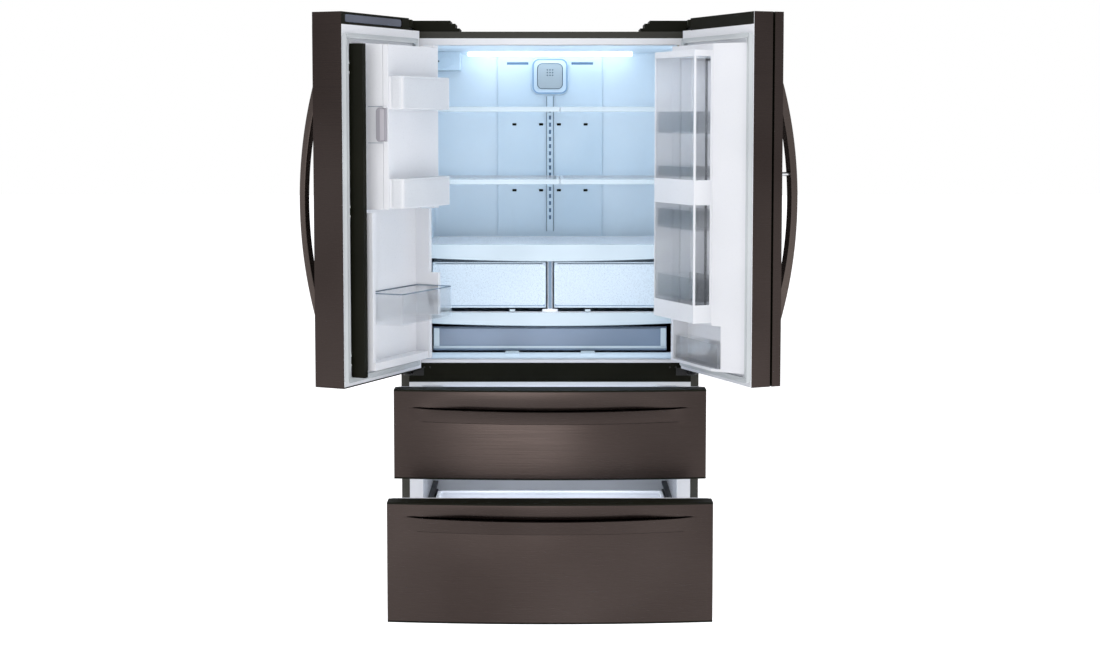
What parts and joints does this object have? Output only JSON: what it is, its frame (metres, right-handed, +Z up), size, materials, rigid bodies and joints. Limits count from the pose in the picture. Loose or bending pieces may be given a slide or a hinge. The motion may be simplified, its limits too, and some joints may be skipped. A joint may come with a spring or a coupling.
{
  "type": "french door refrigerator",
  "caption": "Free-standing french door refrigerator: bowed steel doors, one with an inner case, folding mullion flap, ice housing, shelves, crispers and freezer drawers.",
  "frame": {"origin": "on the floor at the middle of the footprint with the doors open and drawers out as stored", "axes": "+Z up, -Y out of the front, +X to the right as seen from the front"},
  "size_m": [1.415, 1.3209, 1.775],
  "materials": {
    "black_stainless_sheet": "dark brushed",
    "galvanised_sheet": "zinc coated",
    "insulating_foam": "foamed in place",
    "white_liner": "satin moulded",
    "black_plastic": "moulded",
    "black_painted_steel": "powder coated",
    "roller_rubber": "moulded",
    "compressor_enamel": "baked enamel",
    "condenser_steel": "dark coated",
    "finned_aluminium": "mill finish",
    "fan_plastic": "moulded",
    "cool_panel_plastic": "satin moulded",
    "lamp_diffuser": "lit diffuser",
    "clear_plastic": "clear moulded",
    "shelf_pane": "tempered",
    "door_gasket": "soft vinyl",
    "latch_plastic": "two-tone grey",
    "dispenser_plastic": "gloss black",
    "handle_metal": "dark satin",
    "button_metal": "satin chrome",
    "valve_plastic": "moulded"
  },
  "bodies": {
    "cabinet": {"cabinet_shell": "black_stainless_sheet", "rear_panel": "galvanised_sheet", "foam_core": "insulating_foam", "fresh_food_liner": "white_liner", "freezer_liner": "white_liner", "centre_divider": "black_plastic", "base_frame": "galvanised_sheet", "toe_grille": "black_plastic", "front_legs": "black_painted_steel", "compressor": "compressor_enamel", "condenser_coil": "condenser_steel", "fan_motors": "galvanised_sheet", "machine_cover": "galvanised_sheet", "evaporator": "finned_aluminium", "freezer_duct_panel": "white_liner", "duct_panel": "cool_panel_plastic", "shelf_track": "cool_panel_plastic", "air_filter": "cool_panel_plastic", "ceiling_lamp": "lamp_diffuser", "ice_duct": "cool_panel_plastic", "hinge_brackets": "black_painted_steel", "hinge_covers": "black_plastic", "freezer_rails": "black_painted_steel", "upper_shelves": "white_liner", "lower_shelves": "white_liner", "shelf_glass": "shelf_pane", "crisper_cover": "white_liner", "pantry_cover": "white_liner", "water_valve": "valve_plastic"},
    "left_door": {"left_door_skin": "black_stainless_sheet", "left_door_liner": "white_liner", "left_door_gasket": "door_gasket", "left_door_caps": "black_plastic", "left_handle": "handle_metal", "ice_housing": "white_liner", "ice_maker": "valve_plastic", "left_door_bin": "clear_plastic", "dispenser_housing": "dispenser_plastic"},
    "mullion_flap": {"mullion_flap": "black_plastic"},
    "ice_door": {"ice_door": "white_liner"},
    "ice_latch": {"ice_latch": "latch_plastic"},
    "dispenser_lever": {"dispenser_lever": "dispenser_plastic"},
    "right_door": {"right_door_frame": "white_liner", "right_door_gasket": "door_gasket", "case_covers": "clear_plastic", "case_bins": "clear_plastic"},
    "outer_door": {"outer_door_skin": "black_stainless_sheet", "outer_door_liner": "black_plastic", "right_handle": "handle_metal"},
    "release_button": {"release_button": "button_metal"},
    "crisper_left": {"crisper_left": "clear_plastic"},
    "crisper_right": {"crisper_right": "clear_plastic"},
    "pantry_drawer": {"pantry_drawer": "clear_plastic"},
    "upper_drawer": {"upper_drawer_front": "black_stainless_sheet", "upper_drawer_basket": "white_liner"},
    "lower_drawer": {"lower_drawer_front": "black_stainless_sheet", "lower_drawer_basket": "white_liner"},
    "condenser_fan": {"condenser_fan": "fan_plastic"},
    "evaporator_fan": {"evaporator_fan": "fan_plastic"},
    "rear_rollers": {"rear_rollers": "roller_rubber"}
  },
  "joints": [
    {"name": "left_door_swing", "type": "hinge", "parent": "cabinet", "child": "left_door", "pos_m": [-0.429, -0.143, 1.2], "axis": [0, 0, -1], "range_deg": [-114.5, 1.5]},
    {"name": "right_door_swing", "type": "hinge", "parent": "cabinet", "child": "right_door", "pos_m": [0.429, -0.143, 1.2], "axis": [0, 0, 1], "range_deg": [-112.5, 2.5]},
    {"name": "outer_door_swing", "type": "hinge", "parent": "right_door", "child": "outer_door", "pos_m": [0.429, -0.143, 1.2], "axis": [0, 0, 1], "range_deg": [0, 65]},
    {"name": "mullion_fold", "type": "hinge", "parent": "left_door", "child": "mullion_flap", "pos_m": [-0.56357, -0.52812, 1.219], "axis": [0, 0, -1], "range_deg": [0, 90]},
    {"name": "ice_door_swing", "type": "hinge", "parent": "left_door", "child": "ice_door", "pos_m": [-0.33666, -0.24662, 1.455], "axis": [0, 0, 1], "range_deg": [0, 90]},
    {"name": "ice_latch_pull", "type": "hinge", "parent": "ice_door", "child": "ice_latch", "pos_m": [-0.45925, -0.52044, 1.4615], "axis": [0, 0, 1], "range_deg": [0, 20], "stiffness_Nm_per_rad": 0.05},
    {"name": "dispenser_push", "type": "hinge", "parent": "left_door", "child": "dispenser_lever", "pos_m": [-0.53833, -0.31297, 1.34], "axis": [-0.4147, -0.91, 0], "range_deg": [0, 9], "stiffness_Nm_per_rad": 0.5},
    {"name": "release_press", "type": "slide", "parent": "outer_door", "child": "release_button", "axis": [0.9239, 0.3827, 0], "range_m": [0, 0.006], "stiffness_N_per_m": 200},
    {"name": "crisper_left_slide", "type": "slide", "parent": "cabinet", "child": "crisper_left", "axis": [0, -1, 0], "range_m": [0, 0.25]},
    {"name": "crisper_right_slide", "type": "slide", "parent": "cabinet", "child": "crisper_right", "axis": [0, -1, 0], "range_m": [0, 0.25]},
    {"name": "pantry_slide", "type": "slide", "parent": "cabinet", "child": "pantry_drawer", "axis": [0, -1, 0], "range_m": [0, 0.25]},
    {"name": "upper_drawer_slide", "type": "slide", "parent": "cabinet", "child": "upper_drawer", "axis": [0, -1, 0], "range_m": [-0.195, 0.23]},
    {"name": "lower_drawer_slide", "type": "slide", "parent": "cabinet", "child": "lower_drawer", "axis": [0, -1, 0], "range_m": [-0.438, 0.03]},
    {"name": "condenser_fan_spin", "type": "hinge", "parent": "cabinet", "child": "condenser_fan", "pos_m": [0.049, 0.522, 0.118], "axis": [1, 0, 0], "continuous": true},
    {"name": "evaporator_fan_spin", "type": "hinge", "parent": "cabinet", "child": "evaporator_fan", "pos_m": [0, 0.411, 0.56], "axis": [0, 1, 0], "continuous": true},
    {"name": "rear_roller_spin", "type": "hinge", "parent": "cabinet", "child": "rear_rollers", "pos_m": [0, 0.582, 0.022], "axis": [1, 0, 0], "continuous": true}
  ]
}
